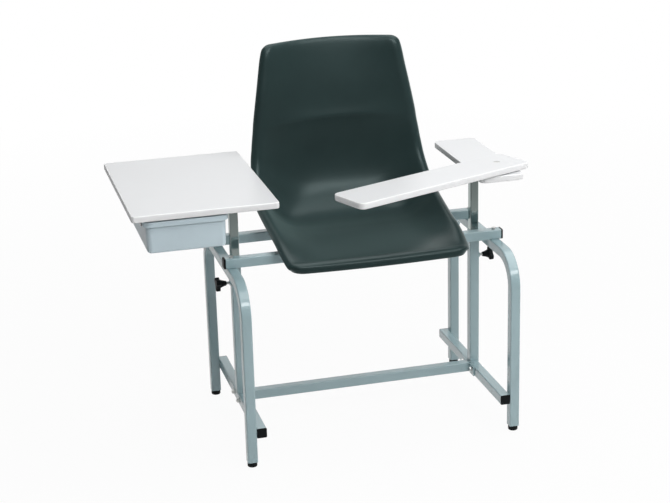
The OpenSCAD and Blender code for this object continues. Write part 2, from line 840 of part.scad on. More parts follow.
mirror([1, 0, 0]) side_tube();  // left_side_tube
side_tube();  // right_side_tube
mirror([1, 0, 0]) base_rail();  // left_base_rail
base_rail();  // right_base_rail
base_rail_end_caps();
mirror([1, 0, 0]) post();  // left_post
post();  // right_post
post_weld_nuts();
stretcher();
stretcher_end_plates();
stretcher_bolts();
stretcher_nuts();
crossbar(front_bar_y);  // front_crossbar
crossbar(rear_bar_y);  // rear_crossbar
crossbar_end_caps();
crossbar_bolts();
crossbar_nuts();
floor_glides();
seat_shell();
seat_bosses();
seat_bolts();
tray_column();
tray_column_plug();
tray_plate();
tray_screws();
tray_board();
tray_edge_band();
drawer_runners();
runner_screws();
drawer_bin();
arm_column();
arm_column_plug();
arm_plate();
arm_screws();
arm_base_board();
arm_base_edge_band();
pivot_bolt();
pivot_nut();
pivot_washer();
arm_blade();
arm_blade_edge_band();
mirror([1, 0, 0]) clamp_knob(left_knob_angle);  // left_clamp_knob
clamp_knob(0);  // right_clamp_knob
mirror([1, 0, 0]) knob_stud();  // left_knob_stud
knob_stud();  // right_knob_stud
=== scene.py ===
# %% [markdown]
# # A blood drawing chair, dressed for a studio picture
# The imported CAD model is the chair's skeleton: every board, tube and joint is already in its
# place, in metres. This lesson puts real surfaces round it: tubes with rounded corners, a
# moulded seat with a rolled rim, edging, a drawer tub, knobs, and a finish for each of them.

# %% Load the frame
import json
import math

import bpy
import bmesh
import numpy as np
from mathutils import Matrix, Vector


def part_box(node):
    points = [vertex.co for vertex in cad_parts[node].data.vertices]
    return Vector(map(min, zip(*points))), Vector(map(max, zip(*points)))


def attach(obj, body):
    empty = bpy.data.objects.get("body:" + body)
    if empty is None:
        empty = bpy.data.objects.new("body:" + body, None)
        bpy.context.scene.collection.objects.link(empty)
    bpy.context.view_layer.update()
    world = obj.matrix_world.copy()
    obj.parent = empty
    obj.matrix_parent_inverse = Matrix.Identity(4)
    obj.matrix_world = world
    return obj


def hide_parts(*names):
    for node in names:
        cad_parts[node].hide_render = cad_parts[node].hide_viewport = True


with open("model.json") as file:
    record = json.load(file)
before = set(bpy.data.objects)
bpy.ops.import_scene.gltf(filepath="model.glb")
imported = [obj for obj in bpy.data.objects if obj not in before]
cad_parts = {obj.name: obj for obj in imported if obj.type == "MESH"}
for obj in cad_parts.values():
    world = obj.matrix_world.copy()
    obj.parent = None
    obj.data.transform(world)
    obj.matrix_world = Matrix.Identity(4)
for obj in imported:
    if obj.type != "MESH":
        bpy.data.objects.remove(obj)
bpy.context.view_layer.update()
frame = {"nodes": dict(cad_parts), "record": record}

# %% [markdown]
# ## The camera
# The photograph was taken from the front, a little to the left of the chair and well above the
# seat, with a long lens. The place and the three angles come from the straight tubes of the
# frame, whose corners are known in the CAD. A matrix built from the three directions is
# simpler than angles, because the small roll then needs no care about the order of turns.

# %% Place the camera
CAMERA_PLACE = Vector((-1.0571, -3.8394, 1.8017))
YAW, PITCH, ROLL = math.radians(14.60), math.radians(18.73), -0.027
FOCAL_PIXELS, PHOTO_WIDTH, SENSOR, CLIP_END = 1623.4, 670, 36.0, 60

level_share = math.cos(PITCH)
ahead = Vector((math.sin(YAW) * level_share, math.cos(YAW) * level_share, -math.sin(PITCH)))
level = Vector((math.cos(YAW), -math.sin(YAW), 0))
upward = level.cross(ahead)
right = math.cos(ROLL) * level + math.sin(ROLL) * upward
top = -math.sin(ROLL) * level + math.cos(ROLL) * upward

camera_data = bpy.data.cameras.new("photo_camera")
camera_data.sensor_width = SENSOR
camera_data.sensor_fit = "HORIZONTAL"
camera_data.lens = FOCAL_PIXELS * SENSOR / PHOTO_WIDTH
camera_data.clip_end = CLIP_END
camera = bpy.data.objects.new("photo_camera", camera_data)
bpy.context.scene.collection.objects.link(camera)
turn = Matrix((right, top, -ahead)).transposed().to_4x4()
camera.matrix_world = Matrix.Translation(CAMERA_PLACE) @ turn
bpy.context.scene.camera = camera
print("lens in mm:", round(camera_data.lens, 2))

# %% [markdown]
# ## Finishes
# A finish is a small tree of nodes round Blender's Principled shader. What is the same all over
# a surface, such as its roughness, is a plain number on the shader. What varies, such as a
# faint mottle in the colour or the grain that a mould leaves, could be painted on a picture.
# Noise in object coordinates is used instead: it needs no unwrapping, and it keeps its size in
# millimetres on every piece.

# %% Start of a finish
def start_finish(name, colour, rough, metal=0.0, coat=0.0):
    """A new material with a Principled shader whose plain numbers are set."""
    material = bpy.data.materials.new(name)
    material.use_nodes = True
    shader = material.node_tree.nodes["Principled BSDF"]
    shader.inputs["Base Color"].default_value = (*colour, 1)
    shader.inputs["Roughness"].default_value = rough
    shader.inputs["Metallic"].default_value = metal
    shader.inputs["Coat Weight"].default_value = coat
    shader.inputs["Coat Roughness"].default_value = 0.08
    return material, shader


def noise(tree, lumps, detail, stretch=(1, 1, 1)):
    """Noise in object coordinates, with so many lumps to the metre, drawn out along an axis."""
    spot = tree.nodes.new("ShaderNodeTexCoord")
    mapping = tree.nodes.new("ShaderNodeMapping")
    mapping.inputs["Scale"].default_value = stretch
    cloud = tree.nodes.new("ShaderNodeTexNoise")
    cloud.inputs["Scale"].default_value = lumps
    cloud.inputs["Detail"].default_value = detail
    tree.links.new(spot.outputs["Object"], mapping.inputs["Vector"])
    tree.links.new(mapping.outputs["Vector"], cloud.inputs["Vector"])
    return cloud.outputs["Fac"]


def mapped(tree, value, ends, smooth=False):
    """A value carried from one range to another: ends are the old low and high, then the new."""
    ramp = tree.nodes.new("ShaderNodeMapRange")
    ramp.interpolation_type = "SMOOTHSTEP" if smooth else "LINEAR"
    for name, end in zip(("From Min", "From Max", "To Min", "To Max"), ends):
        ramp.inputs[name].default_value = end
    tree.links.new(value, ramp.inputs["Value"])
    return ramp.outputs["Result"]


print("helpers for a finish: start_finish, noise, mapped")

# %% What varies on a surface
def mottle(material, shader, colour, lumps, shares, middle=(0.3, 0.7), detail=3):
    """The base colour wanders from one share of a colour to another, as the noise goes from one
    end of its middle range to the other."""
    tree = material.node_tree
    value = mapped(tree, noise(tree, lumps, detail), (*middle, 0, 1))
    mix = tree.nodes.new("ShaderNodeMix")
    mix.data_type = "RGBA"
    for side, share in zip("AB", shares):
        mix.inputs[side].default_value = (*[min(1.0, c * share) for c in colour], 1)
    tree.links.new(value, mix.inputs["Factor"])
    tree.links.new(mix.outputs["Result"], shader.inputs["Base Color"])


def rough_between(material, shader, low, high, lumps, detail=3, stretch=(1, 1, 1)):
    """The roughness runs from low to high with the noise."""
    tree = material.node_tree
    value = mapped(tree, noise(tree, lumps, detail, stretch), (0, 1, low, high))
    tree.links.new(value, shader.inputs["Roughness"])


def grain(material, shader, depth, strength, lumps, detail=2, stretch=(1, 1, 1)):
    """Bumps of a depth in metres, where the noise is high."""
    tree = material.node_tree
    bump = tree.nodes.new("ShaderNodeBump")
    bump.inputs["Distance"].default_value = depth
    bump.inputs["Strength"].default_value = strength
    tree.links.new(noise(tree, lumps, detail, stretch), bump.inputs["Height"])
    tree.links.new(bump.outputs["Normal"], shader.inputs["Normal"])


def tell(material):
    """Prints a finish's name and how many nodes it has."""
    print(material.name, "has", len(material.node_tree.nodes), "nodes")


print("ways to vary a surface: mottle, rough_between, grain")

# %% [markdown]
# The frame's blue-grey enamel is a thick gloss coat. Real coats dry with a slightly wavy skin,
# which painters call orange peel, so the bump is wide and very shallow. The shader's own coat
# layer gives the second, sharper gloss of the paint's surface.

# %% Enamel on the frame
ENAMEL = (0.355, 0.485, 0.515)
enamel, shader = start_finish("frame_enamel", ENAMEL, 0.27, coat=0.55)
mottle(enamel, shader, ENAMEL, 6, (0.95, 1.04), (0.35, 0.65))
grain(enamel, shader, 0.00006, 0.5, 260, 1)
tell(enamel)

# %% [markdown]
# The seat is moulded in one shot from a dark greenish charcoal plastic. Its mould was
# sandblasted, so the skin has a fine grain that spreads every reflection. The grain is far
# smaller than a pixel, so a layer of sheen gives most of the soft light that it catches.

# %% Moulded plastic of the seat
CHARCOAL = (0.0190, 0.0355, 0.0355)
charcoal, shader = start_finish("seat_plastic", CHARCOAL, 0.31)
shader.inputs["Specular IOR Level"].default_value = 0.28
shader.inputs["Specular Tint"].default_value = (0.82, 1.0, 1.0, 1.0)
shader.inputs["Sheen Weight"].default_value = 0.36
shader.inputs["Sheen Roughness"].default_value = 0.40
shader.inputs["Sheen Tint"].default_value = (0.75, 1.0, 0.97, 1)
mottle(charcoal, shader, CHARCOAL, 9, (0.92, 1.08))
grain(charcoal, shader, 0.00012, 0.45, 1400)
tell(charcoal)

# %% [markdown]
# The small black parts, such as plugs, glides and knobs, are satin nylon with a faint grain.
# Black plastic looks grey when it reflects too much, so its reflections are held back.

# %% Black nylon
nylon, shader = start_finish("black_nylon", (0.006, 0.008, 0.009), 0.42)
shader.inputs["Specular IOR Level"].default_value = 0.10
rough_between(nylon, shader, 0.36, 0.50, 40)
grain(nylon, shader, 0.00006, 0.4, 1800)
tell(nylon)

# %% [markdown]
# Chrome plate is a mirror, so most of its look is what it reflects. A faint waviness along the
# column keeps the reflections from being ruler-straight. Zinc plate is the same metal look,
# but dull and spotted, as on cheap bolts.

# %% Chrome and zinc plate
chrome, shader = start_finish("chrome_plate", (0.36, 0.42, 0.405), 0.11, metal=1.0)
rough_between(chrome, shader, 0.08, 0.16, 30, 2, (1, 1, 0.2))
grain(chrome, shader, 0.00035, 0.5, 22, 1, (1, 1, 0.35))
tell(chrome)

ZINC = (0.70, 0.70, 0.685)
zinc, shader = start_finish("zinc_plate", ZINC, 0.3, metal=1.0)
mottle(zinc, shader, ZINC, 180, (0.86, 1.05), (0.35, 0.65))
rough_between(zinc, shader, 0.22, 0.42, 420)
tell(zinc)

# %% [markdown]
# The boards are covered with a white melamine laminate, which has a barely visible pearl
# texture, and edged with a satin plastic. The edging's colour is brighter than the laminate's:
# partly its own whiter tone, partly painted light, since the edges face sideways and get less
# light than the well-lit tops, whose laminate is kept darker. The drawer is a pale blue-grey
# plastic with a little gloss. All three differ only in colour, gloss and the size of the grain.

# %% Laminate, edging and drawer plastic
WHITE = (0.685, 0.695, 0.705)
laminate, shader = start_finish("white_laminate", WHITE, 0.36)
mottle(laminate, shader, WHITE, 4, (0.985, 1.01), detail=2)
grain(laminate, shader, 0.00003, 0.35, 900)
tell(laminate)

# Painted light: the edging is set brighter than the laminate, so that the boards' sides, which get
# less light than their tops, look as white as the tops.
EDGING_WITH_PAINTED_LIGHT = (0.90, 0.905, 0.91)
edging, shader = start_finish("white_edging_with_painted_light", EDGING_WITH_PAINTED_LIGHT, 0.32)
mottle(edging, shader, EDGING_WITH_PAINTED_LIGHT, 25, (0.98, 1.01), detail=2)
grain(edging, shader, 0.00004, 0.3, 300, 1)
tell(edging)

TUB = (0.590, 0.710, 0.765)
tub_plastic, shader = start_finish("tub_plastic", TUB, 0.34, coat=0.15)
mottle(tub_plastic, shader, TUB, 7, (0.96, 1.03), detail=2)
grain(tub_plastic, shader, 0.00005, 0.35, 500)
tell(tub_plastic)

# %% [markdown]
# ## Surfaces from two parameters
# Most of the chair is made by carrying an outline up a profile: a square tube is a rounded
# square carried along its length, a drawer tub is a rounded rectangle drawn in and out as it
# rises, a knob is a lobed outline that closes over its face. Bevelled boxes would do for some
# of these, but one way for all keeps every radius a number. So one function makes a grid of
# points from an outline and a profile, another sets the grid's axes in the room, and a third
# turns grids into one mesh.

# %% Outlines
def rounded_outline(width, depth, radius, steps=7, guard=0.0004):
    """A rectangle round the origin with round corners, as points and outward directions.

    Each corner is a quarter of a circle about a point that lies one radius inside both sides.
    A guard point just inside each straight side keeps the side's shading flat.
    """
    angles = np.linspace(0, np.pi / 2, steps)
    points, out = [], []
    for quarter, (sx, sy) in enumerate([(1, 1), (-1, 1), (-1, -1), (1, -1)]):
        a = angles + quarter * np.pi / 2
        middle = np.array([sx * (width / 2 - radius), sy * (depth / 2 - radius)])
        ring = np.c_[np.cos(a), np.sin(a)]
        corner = middle + radius * ring
        before = corner[0] - guard * np.array([-ring[0, 1], ring[0, 0]])
        after = corner[-1] + guard * np.array([-ring[-1, 1], ring[-1, 0]])
        points += [before[None], corner, after[None]]
        out += [ring[:1], ring, ring[-1:]]
    return np.concatenate(points), np.concatenate(out)


def round_outline(radius, sides=48):
    """A circle round the origin: radius times cosine and sine of the angle."""
    a = np.arange(sides) * 2 * np.pi / sides
    ring = np.c_[np.cos(a), np.sin(a)]
    return radius * ring, ring


print("points round a tube:", len(rounded_outline(1, 1, 0.1)[0]), "round a glide:",
      len(round_outline(1)[0]))

# %% Grids from an outline and a profile
def carry(outline, profile):
    """A grid of points: row k is the outline drawn in by the profile's inset k, at height k."""
    points, out = outline
    inset, height = np.array(profile, float).T
    flat = points[None] - inset[:, None, None] * out[None]
    rise = np.broadcast_to(height[:, None, None], flat.shape[:2] + (1,))
    return np.concatenate([flat, rise], 2)


def arc(inset, height, radius_in, radius_up, start, end, steps=5):
    """Points of an ellipse's arc in a profile: centre plus cosine and sine of an angle."""
    a = np.radians(np.linspace(start, end, steps))
    return [(inset - radius_in * np.cos(t), height + radius_up * np.sin(t)) for t in a]


def place(grid, origin, x=(1, 0, 0), y=(0, 1, 0), z=(0, 0, 1)):
    """Sets a grid's own axes in the room: origin plus each coordinate times its direction."""
    return np.array(origin, float) + grid @ np.array([x, y, z], float)


def unit(vectors):
    """Each vector divided by its length."""
    return vectors / np.linalg.norm(vectors, axis=-1, keepdims=True)


print("grid of a short tube:", carry(round_outline(1), [(0, 0), (0, 1)]).shape)

# %% Turn grids into one mesh
def grid_faces(rows, cols, loop):
    """Faces of a grid whose columns run all the way round. A loop also joins the last row to
    the first."""
    r = np.arange(rows if loop else rows - 1)[:, None]
    c = np.arange(cols)[None, :]
    next_r, next_c = (r + 1) % rows, (c + 1) % cols
    quads = [r * cols + c, r * cols + next_c, next_r * cols + next_c, next_r * cols + c]
    return np.stack(quads, -1).reshape(-1, 4)


def build(name, parts, finish, body, slot, stands_for=(), sharp=35.0):
    """One piece from several grids. A part is a grid and the word 'caps' or 'loop'."""
    verts, faces, first = [], [], 0
    for grid, ends in parts:
        rows, cols = grid.shape[:2]
        verts.append(grid.reshape(-1, 3))
        faces += (grid_faces(rows, cols, ends == "loop") + first).tolist()
        if ends == "caps":
            faces.append(list(range(first + cols - 1, first - 1, -1)))
            faces.append(list(range(first + (rows - 1) * cols, first + rows * cols)))
        first += rows * cols
    mesh = bpy.data.meshes.new(name)
    mesh.from_pydata(np.concatenate(verts).tolist(), [], faces)
    shaper = bmesh.new()
    shaper.from_mesh(mesh)
    bmesh.ops.remove_doubles(shaper, verts=shaper.verts, dist=1e-6)
    bmesh.ops.recalc_face_normals(shaper, faces=shaper.faces)
    shaper.to_mesh(mesh)
    shaper.free()
    mesh.polygons.foreach_set("use_smooth", np.ones(len(mesh.polygons), bool))
    mesh.set_sharp_from_angle(angle=math.radians(sharp))
    mesh.materials.append(finish)
    piece = bpy.data.objects.new(name, mesh)
    bpy.context.scene.collection.objects.link(piece)
    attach(piece, body)
    if stands_for:
        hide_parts(*stands_for)
    print(name, "has", len(mesh.polygons), "faces")


def capped(grids):
    """Each grid as a part whose two open ends get a flat cap."""
    return [(grid, "caps") for grid in grids]


def middle_of(node):
    """Middle of a CAD node's box, in X and Y."""
    low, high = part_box(node)
    return (low.x + high.x) / 2, (low.y + high.y) / 2


print("faces of a closed grid of 6 rows and 36 columns:", len(grid_faces(6, 36, True)))

# %% [markdown]
# ## Square tubes
# The frame is bent and welded from inch tube. A rolled tube is never sharp: its corners have a
# radius of about twice the wall, and it is that radius which catches the light as a bright
# line. Straight tubes carry the rounded square up a short profile that goes up the outside
# and back down the inside. The two side tubes carry it along a path with two bends.

# %% Sizes of the tubes
TUBE, WALL, CORNER, BEND_R = 0.0254, 0.0015, 0.0030, 0.075
LEG_X, LEG_Y, RAIL_X = 0.3458, 0.2353, 0.3204
FRAME_D, RAIL_CAP, BAR_HALF, BAR_CAP, BARS_Y = 0.496, 0.0025, 0.362, 0.005, (-0.085, 0.102)
GLIDE_H, SIDE_TOP = (corner.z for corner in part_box("left_side_tube"))
RAIL_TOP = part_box("left_base_rail")[1].z
HALF, RAIL_HALF = TUBE / 2, FRAME_D / 2 - RAIL_CAP
RAIL_Z, BAR_Z = RAIL_TOP - HALF, SIDE_TOP + HALF
ALONG_X = dict(x=(0, 1, 0), y=(0, 0, 1), z=(1, 0, 0))
ALONG_Y = dict(x=(0, 0, 1), y=(1, 0, 0), z=(0, 1, 0))
PAINTED = (enamel, "frame", "frame_paint")
print("tops of the rails and side tubes:", round(RAIL_TOP, 4), round(SIDE_TOP, 4))

# %% Straight tubes of the frame
def straight_tube(start, end, side=TUBE, wall=WALL, corner=CORNER):
    """The profile of an open tube: up the outside, over the end and down the inside."""
    ease = 0.0003
    profile = [(0, start + ease), (0, end - ease), (ease, end),
               (wall, end), (wall, start), (ease, start)]
    return carry(rounded_outline(side, side, corner), profile)


for side, sign in (("left", -1), ("right", 1)):
    rail = place(straight_tube(-RAIL_HALF, RAIL_HALF), (sign * RAIL_X, 0, RAIL_Z), **ALONG_Y)
    build(side + "_low_rail", [(rail, "loop")], *PAINTED, [side + "_base_rail"])
    post = place(straight_tube(RAIL_TOP, SIDE_TOP), (sign * RAIL_X, 0, 0))
    build(side + "_receiver", [(post, "loop")], *PAINTED, [side + "_post"])
for end, bar_y in zip(("front", "rear"), BARS_Y):
    bar = place(straight_tube(-BAR_HALF, BAR_HALF), (0, bar_y, BAR_Z), **ALONG_X)
    build(end + "_seat_bar", [(bar, "loop")], *PAINTED, [end + "_crossbar"])
low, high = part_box("stretcher")
cross = place(straight_tube(low.x, high.x), (0, 0, RAIL_Z), **ALONG_X)
build("low_stretcher", [(cross, "loop")], *PAINTED, ["stretcher"])

# %% Bent side tubes
def side_path(steps=16):
    """Middle line of a side tube, back and up: a leg, a quarter circle, the top, and the same
    down again."""
    z_top = SIDE_TOP - HALF
    a = np.linspace(0, np.pi / 2, steps)
    bend = np.c_[-(LEG_Y - BEND_R) - BEND_R * np.cos(a), z_top - BEND_R + BEND_R * np.sin(a)]
    near_half = np.concatenate([[[-LEG_Y, GLIDE_H]], bend])
    return np.concatenate([near_half, (near_half * [-1, 1])[::-1]])


def along(path, ring):
    """A closed ring of points carried along a path in the upright plane: across stays across,
    and the ring's other direction stays square to the path."""
    step = np.gradient(path, axis=0)
    step[0], step[-1] = path[1] - path[0], path[-1] - path[-2]
    step[1], step[-2] = step[0], step[-1]
    step = unit(step)
    normal = np.c_[-step[:, 1], step[:, 0]]
    grid = np.empty((len(path), len(ring), 3))
    grid[..., 0] = ring[None, :, 0]
    grid[..., 1:] = path[:, None] + ring[None, :, 1, None] * normal[:, None]
    return grid


outer_ring = rounded_outline(TUBE, TUBE, CORNER)[0]
inner_ring = rounded_outline(TUBE - 2 * WALL, TUBE - 2 * WALL, CORNER - WALL)[0]
path = side_path()
bent = np.concatenate([along(path, outer_ring), along(path, inner_ring)[::-1]])
for side, sign in (("left", -1), ("right", 1)):
    build(side + "_bent_tube", [(bent + [sign * LEG_X, 0, 0], "loop")], *PAINTED,
          [side + "_side_tube"])

# %% [markdown]
# ## Weld beads
# Where two tubes meet, the welder leaves a bead that looks like a row of overlapping coins.
# A bump in the paint would stay flat at the corner, so the bead is a thin rod of its own, whose
# radius swells and shrinks along its length. It sits in the corner between the faces, and the
# enamel covers it.

# %% Beads at the joints
def bead(point, axis, reach, radius=0.0022, coin=0.0032, ripple=0.13, taper_over=0.003):
    """A rod through a point along one axis, from minus reach to plus reach.

    Its radius is the bead's, times one plus a sine of the distance along it, once for each
    coin. Towards both ends it tapers by the root of the distance from the end.
    """
    half_way = reach * np.eye(3)[axis]
    start, end = np.array(point) - half_way, np.array(point) + half_way
    length = np.linalg.norm(end - start)
    z = (end - start) / length
    x = unit(np.cross(z, (0.3, 0.5, 0.8)))
    s = np.linspace(0, length, int(length / (coin / 4)))
    swell = 1 + ripple * np.sin(2 * np.pi * s / coin)
    taper = np.clip(np.minimum(s, length - s) / taper_over, 0.25, 1) ** 0.5
    inset = radius * (1 - swell * taper)
    return place(carry(round_outline(radius, 12), np.c_[inset, s]), start, x, np.cross(z, x), z)


AT_LEG, AT_POST = HALF - 0.003, HALF - 0.002
beads = []
for sign in (-1, 1):
    seam, inner = sign * (RAIL_X + HALF), sign * (RAIL_X - HALF)
    for leg in (-1, 1):
        beads += [bead((seam, leg * LEG_Y, z), 1, leg * AT_LEG)
                  for z in (RAIL_TOP, RAIL_TOP - TUBE)]
        beads += [bead((seam, leg * (LEG_Y - HALF), RAIL_Z), 2, AT_LEG),
                  bead((sign * RAIL_X, leg * HALF, RAIL_TOP), 0, sign * AT_POST),
                  bead((seam, leg * HALF, SIDE_TOP - HALF), 2, AT_POST)]
    beads += [bead((inner, 0, RAIL_TOP), 1, AT_POST), bead((seam, 0, SIDE_TOP - TUBE), 1, AT_POST)]
build("weld_beads", capped(beads), *PAINTED, sharp=60)
print("beads:", len(beads))

# %% [markdown]
# ## Plugs and glides
# Open tube ends get black plugs with a softly rounded face, and each leg stands on a round
# glide. A bevelled cube would do for a plug, but the tube's own outline makes it flush at the
# corners. A plug's profile goes up its side from the tube and rounds over to its face. A
# glide's starts at its foot, goes up the side and has a narrow groove.

# %% End plugs
BLACK = (nylon, "frame", "black_plastic")


def plug(depth):
    """A square cap from 0 up to its depth: straight sides and a rounding of up to 1.6 mm."""
    ease, rest = min(0.0016, 0.45 * depth), 0.0002
    profile = [(rest, 0), (0, rest)] + arc(ease, depth - ease, ease, ease, 0, 90)
    return carry(rounded_outline(TUBE, TUBE, CORNER), profile + [(0.0024, depth)])


rail_plugs, bar_plugs = [], []
for sign in (-1, 1):
    for end in (-1, 1):
        axes = dict(x=(end, 0, 0), y=(0, 0, 1), z=(0, end, 0))
        rail_plugs.append(place(plug(RAIL_CAP), (sign * RAIL_X, end * RAIL_HALF, RAIL_Z), **axes))
for bar_y in BARS_Y:
    for end in (-1, 1):
        axes = dict(x=(0, end, 0), y=(0, 0, 1), z=(end, 0, 0))
        bar_plugs.append(place(plug(BAR_CAP), (end * BAR_HALF, bar_y, BAR_Z), **axes))
build("rail_plugs", capped(rail_plugs), *BLACK, ["base_rail_end_caps"])
build("bar_plugs", capped(bar_plugs), *BLACK, ["crossbar_end_caps"])

# %% Floor glides
GLIDE_R, FOOT_R, GROOVE = 0.0124, 0.0024, 0.0005
glide_profile = [(FOOT_R + 0.0004, 0)] + arc(FOOT_R, FOOT_R, FOOT_R, FOOT_R, -90, 0)[1:]
glide_profile += [(0, 0.0086), (GROOVE, 0.0092), (GROOVE, 0.0100), (0, 0.0106),
                  (0, GLIDE_H - 0.0001)]
glide = carry(round_outline(GLIDE_R), glide_profile)
glides = [place(glide, (x, y, 0)) for x in (-LEG_X, LEG_X) for y in (-LEG_Y, LEG_Y)]
build("leg_glides", capped(glides), *BLACK, ["floor_glides"])

# %% [markdown]
# ## Chromed columns
# The tray and the arm board each stand on a bright column that slides in a receiver tube. It
# is smaller than the receiver by one wall and a small gap on each side, and otherwise the same
# surface as a straight tube, so one helper serves both.

# %% Columns
SLIDE_GAP, COLUMN_CORNER = 0.00025, 0.0022
COLUMN = TUBE - 2 * WALL - 2 * SLIDE_GAP
for side in ("tray", "arm"):
    node = side + "_column"
    low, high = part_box(node)
    column = straight_tube(low.z, high.z, COLUMN, WALL, COLUMN_CORNER)
    build("bright_" + node, [(place(column, (middle_of(node)[0], 0, 0)), "loop")],
          chrome, side + "_support", "chrome", [node])

# %% [markdown]
# ## The moulded seat
# The seat is one sheet: it starts under the front lip, rounds over it, runs back over the pan,
# turns up into the back, bulges forward at the sitter's waist, and leans back above that. All
# the way it carries a rolled rim. Sculpting or a subdivided cage would give such a form too,
# but a table of stations can be read and measured. The shape is a surface of two parameters.
# One runs along these stations, the other across. Each station says where the middle line and
# the rim's crest lie, as shares of the seat's depth and rise, how wide the sheet is, how much
# of the width is flat, and how deep its rim rolls.

# %% Stations of the seat
SEAT_W, SEAT_D, SEAT_RISE, PAN_Z, SEAT_FRONT = 0.492, 0.467, 0.4605, 0.509, 0.221
SEAT_T, ROLL_W, RIM_DROP = 0.004, 0.020, 0.013
# middle line: back and up; crest: back and up; width; flat part; rim's depth
STATIONS = np.array([
    [0.000, -0.050, 0.000, -0.050, 0.911, 0.00, 2.05],
    [0.000, -0.036, 0.000, -0.036, 0.921, 0.00, 1.90],
    [0.006, -0.016, 0.006, -0.016, 0.932, 0.00, 1.55],
    [0.024, -0.005, 0.024, -0.005, 0.943, 0.30, 1.08],
    [0.060, -0.001, 0.060, 0.003, 0.957, 0.52, 0.80],
    [0.152, 0.000, 0.143, 0.031, 0.974, 0.55, 0.75],
    [0.248, 0.000, 0.235, 0.061, 0.980, 0.55, 0.85],
    [0.345, 0.000, 0.334, 0.085, 0.984, 0.55, 1.00],
    [0.441, 0.000, 0.431, 0.106, 0.990, 0.55, 1.00],
    [0.548, 0.000, 0.528, 0.129, 0.996, 0.55, 1.00],
    [0.642, 0.003, 0.610, 0.151, 1.000, 0.55, 1.00],
    [0.710, 0.018, 0.684, 0.181, 1.000, 0.54, 1.00],
    [0.765, 0.044, 0.740, 0.224, 0.990, 0.46, 1.00],
    [0.808, 0.080, 0.775, 0.272, 0.976, 0.38, 1.00],
    [0.842, 0.128, 0.798, 0.323, 0.961, 0.30, 1.00],
    [0.870, 0.190, 0.812, 0.367, 0.951, 0.26, 1.00],
    [0.891, 0.270, 0.820, 0.412, 0.937, 0.22, 1.00],
    [0.904, 0.368, 0.826, 0.464, 0.924, 0.16, 1.00],
    [0.903, 0.468, 0.833, 0.515, 0.909, 0.08, 1.00],
    [0.890, 0.560, 0.838, 0.570, 0.896, 0.00, 1.00],
    [0.903, 0.621, 0.845, 0.635, 0.876, 0.00, 1.00],
    [0.919, 0.730, 0.859, 0.744, 0.840, 0.00, 1.00],
    [0.938, 0.838, 0.875, 0.842, 0.807, 0.00, 1.00],
    [0.957, 0.936, 0.887, 0.928, 0.778, 0.00, 0.90],
    [0.970, 0.988, 0.904, 0.977, 0.751, 0.00, 0.60],
    [0.980, 1.000, 0.929, 0.994, 0.712, 0.00, 0.40],
    [0.994, 0.987, 0.950, 0.978, 0.706, 0.00, 0.40],
])
LAST = len(STATIONS) - 1
print("stations:", len(STATIONS))

# %% Curves through the stations
def through(table, t, kink=None, sharper=(1.0, 1.0)):
    """A smooth curve through the table's rows at places t: cubic pieces whose slope at each row
    is half the step between its neighbours. At the kink each side keeps its own slope, which is
    that side's step times its share in sharper."""
    step = np.diff(table, axis=0)
    after = np.concatenate([step, step[-1:]])
    before = np.concatenate([step[:1], step])
    out_slope = (after + before) / 2
    in_slope = out_slope.copy()
    if kink is not None:
        in_slope[kink], out_slope[kink] = before[kink] * sharper[0], after[kink] * sharper[1]
    i = np.clip(np.floor(t).astype(int), 0, len(table) - 2)
    f = (t - i)[..., None]
    a, b = table[i], table[i + 1]
    return (a * (1 + 2 * f) * (1 - f) ** 2 + out_slope[i] * f * (1 - f) ** 2
            + b * f ** 2 * (3 - 2 * f) - in_slope[i + 1] * f ** 2 * (1 - f))


def smooth_step(x):
    """0 below 0, 1 above 1, and three x squared less two x cubed between."""
    x = np.clip(x, 0, 1)
    return x * x * (3 - 2 * x)


WAIST = 19


def station_places(coarse=8, fine=22):
    """Places along the stations: evenly spaced, and closer together round the waist's crease."""
    start, end = WAIST - 1.5, WAIST + 0.5
    below = np.linspace(0, start, int(start * coarse), endpoint=False)
    crease = np.linspace(start, end, 2 * fine, endpoint=False)
    above = np.linspace(end, LAST, int((LAST - end) * coarse) + 1)
    return np.concatenate([below, crease, above])


print("rows of the seat:", len(station_places()))

# %% [markdown]
# The sheet needs two helpers. One gives the middle line its soft crease at the waist, which
# hangs lower towards the sides. The other makes the roll outside each crest, a quarter ellipse.
# The front lip bows out a little and rolls wider, so that its edge is round for the thighs.

# %% Surface of the seat
# the waist's crease: how far along it is felt, one station's rise, its rounding and slopes
NEAR_WAIST, STATION_RISE, CREASE_ROUND, CREASE_SLOPES = 2.6, 0.038, 0.13, (1.5, 1.25)
# the front: its last station, the roll's extra share, and the lip's bow
FRONT_END, FRONT_WIDER, BOW_HALF, BOW_OUT, BOW_DOWN = 5, 0.35, 0.2, 0.004, 0.0012
# the front's shift to the right, how much of it is lost on the way back, and by which station
SHIFT, SHIFT_LOST, SHIFT_END = 0.0045, 0.0035, 18


def middle_line(t, x, mid_y):
    """How far back the middle line lies, as a share, with the waist's crease.

    Each point reads the stations a little farther on, by 0.4 x squared plus 9 x to the fourth,
    in metres, over the rise from one station to the next. This fades away from the waist as a
    bell curve. The mean of five places close together rounds the crease.
    """
    sink = 0.40 * x ** 2 + 9 * x ** 4
    near = np.exp(-((t - WAIST) / NEAR_WAIST) ** 2)
    t_here = np.clip(t + near * sink / STATION_RISE, 0, LAST)
    places = [np.clip(t_here + d, 0, LAST) for d in np.linspace(-CREASE_ROUND, CREASE_ROUND, 5)]
    sunk = np.mean([through(STATIONS[:, :1], at, WAIST, CREASE_SLOPES)[..., 0]
                    for at in places], axis=0)
    back_only = smooth_step((t - 5) / 3) * smooth_step((24.5 - t) / 2)
    return mid_y + (sunk - mid_y) * back_only


